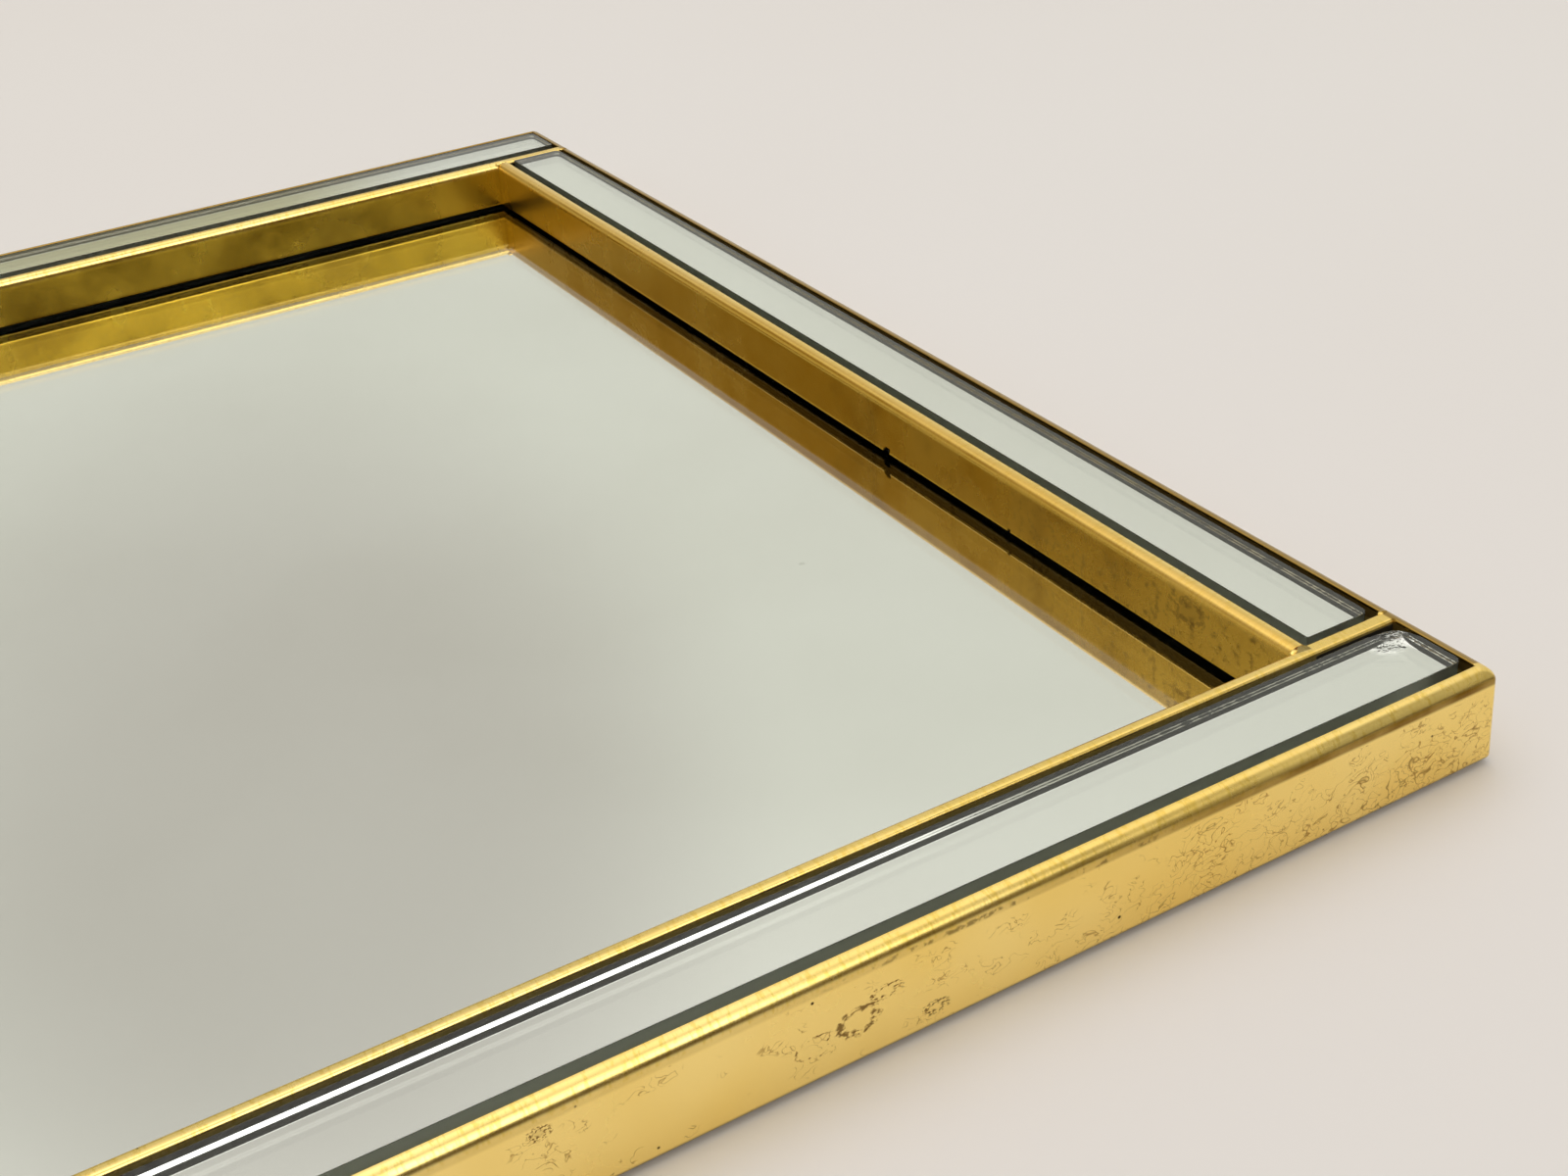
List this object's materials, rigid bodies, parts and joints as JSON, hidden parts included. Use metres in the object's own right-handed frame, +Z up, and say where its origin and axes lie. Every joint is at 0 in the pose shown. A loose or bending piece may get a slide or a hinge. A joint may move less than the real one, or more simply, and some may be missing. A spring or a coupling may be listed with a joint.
{
  "type": "mirrored vanity tray",
  "caption": "Rectangular vanity tray: a brass frame inlaid with mirror strips round a sunken mirror plate that bottles and jewellery stand on.",
  "frame": {"origin": "on the table plane, under the middle of the tray", "axes": "+X along the front rail to the right, +Y from the front rail to the back rail, +Z up out of the mirror"},
  "size_m": [0.3, 0.4, 0.0212],
  "materials": {
    "brass": "lacquered sheet, lightly scratched, with tarnish spots",
    "core_wood": "planed softwood, unfinished",
    "glass": "polished float glass, faint green",
    "silvering": "silvered",
    "bedding": "black mastic",
    "hardboard": "raw hardboard",
    "zinc_steel": "dull zinc plate",
    "felt": "pressed wool felt"
  },
  "bodies": {
    "root": {"front_rail_casing": "brass", "front_rail_core": "core_wood", "front_strip_glass": "glass", "front_strip_silvering": "silvering", "front_strip_bedding": "bedding", "right_rail_casing": "brass", "right_rail_core": "core_wood", "right_strip_glass": "glass", "right_strip_silvering": "silvering", "right_strip_bedding": "bedding", "back_rail_casing": "brass", "back_rail_core": "core_wood", "back_strip_glass": "glass", "back_strip_silvering": "silvering", "back_strip_bedding": "bedding", "left_rail_casing": "brass", "left_rail_core": "core_wood", "left_strip_glass": "glass", "left_strip_silvering": "silvering", "left_strip_bedding": "bedding", "mirror_plate_glass": "glass", "mirror_plate_silvering": "silvering", "backing_board": "hardboard", "board_pin_1": "zinc_steel", "board_pin_2": "zinc_steel", "board_pin_3": "zinc_steel", "board_pin_4": "zinc_steel", "board_pin_5": "zinc_steel", "board_pin_6": "zinc_steel", "board_pin_7": "zinc_steel", "board_pin_8": "zinc_steel", "board_pin_9": "zinc_steel", "board_pin_10": "zinc_steel", "board_pin_11": "zinc_steel", "board_pin_12": "zinc_steel", "corner_brace_front_left": "zinc_steel", "brace_screw_front_left_1": "zinc_steel", "brace_screw_front_left_2": "zinc_steel", "brace_screw_front_left_3": "zinc_steel", "brace_screw_front_left_4": "zinc_steel", "felt_pad_front_left": "felt", "corner_brace_front_right": "zinc_steel", "brace_screw_front_right_1": "zinc_steel", "brace_screw_front_right_2": "zinc_steel", "brace_screw_front_right_3": "zinc_steel", "brace_screw_front_right_4": "zinc_steel", "felt_pad_front_right": "felt", "corner_brace_back_left": "zinc_steel", "brace_screw_back_left_1": "zinc_steel", "brace_screw_back_left_2": "zinc_steel", "brace_screw_back_left_3": "zinc_steel", "brace_screw_back_left_4": "zinc_steel", "felt_pad_back_left": "felt", "corner_brace_back_right": "zinc_steel", "brace_screw_back_right_1": "zinc_steel", "brace_screw_back_right_2": "zinc_steel", "brace_screw_back_right_3": "zinc_steel", "brace_screw_back_right_4": "zinc_steel", "felt_pad_back_right": "felt"}
  },
  "joints": []
}
